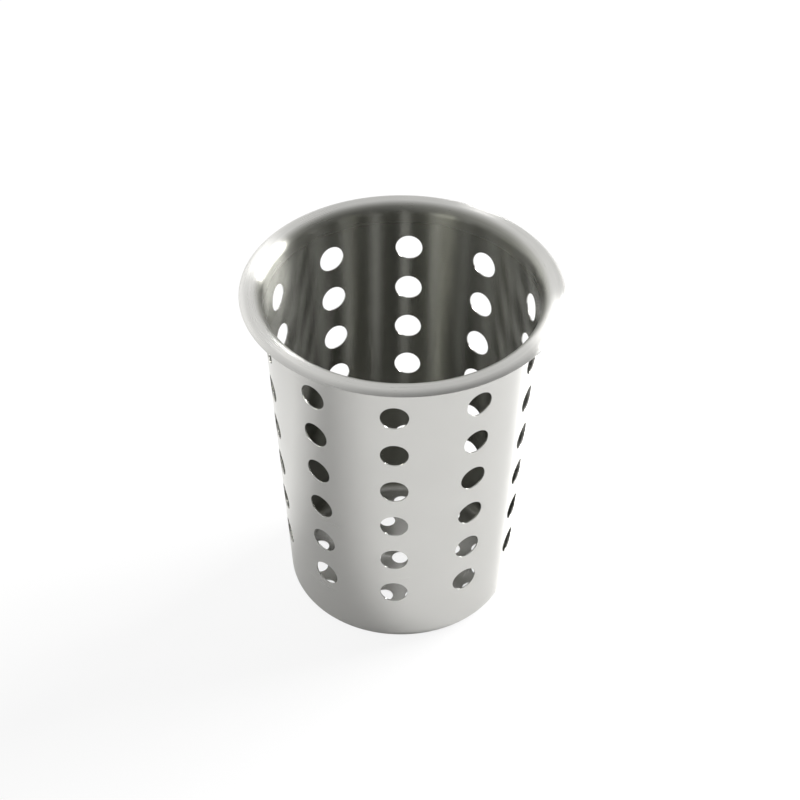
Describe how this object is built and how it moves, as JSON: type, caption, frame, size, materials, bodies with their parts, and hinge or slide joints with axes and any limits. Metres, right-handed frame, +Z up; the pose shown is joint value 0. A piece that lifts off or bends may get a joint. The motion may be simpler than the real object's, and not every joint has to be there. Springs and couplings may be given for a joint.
{
  "type": "cutlery basket",
  "caption": "Round standing basket of perforated steel sheet, with a tapered wall, a flared lip and a drained floor, for holding table ware upright.",
  "frame": {"origin": "on the table under the middle of the basket", "axes": "+Z up along the basket's axis, -Y towards one column of wall holes, +X to the right of it"},
  "size_m": [0.118, 0.118, 0.1395],
  "materials": {
    "wall_steel": "satin stainless steel with a fine grain round the wall",
    "lip_steel": "satin stainless steel, brushed round the lip",
    "weld_steel": "weld ground flush and brushed with the sheet"
  },
  "bodies": {
    "root": {"wall": "wall_steel", "rim_collar": "lip_steel", "floor_pan": "wall_steel", "wall_seam_weld": "weld_steel", "rim_weld": "weld_steel", "floor_weld": "weld_steel"}
  },
  "joints": []
}
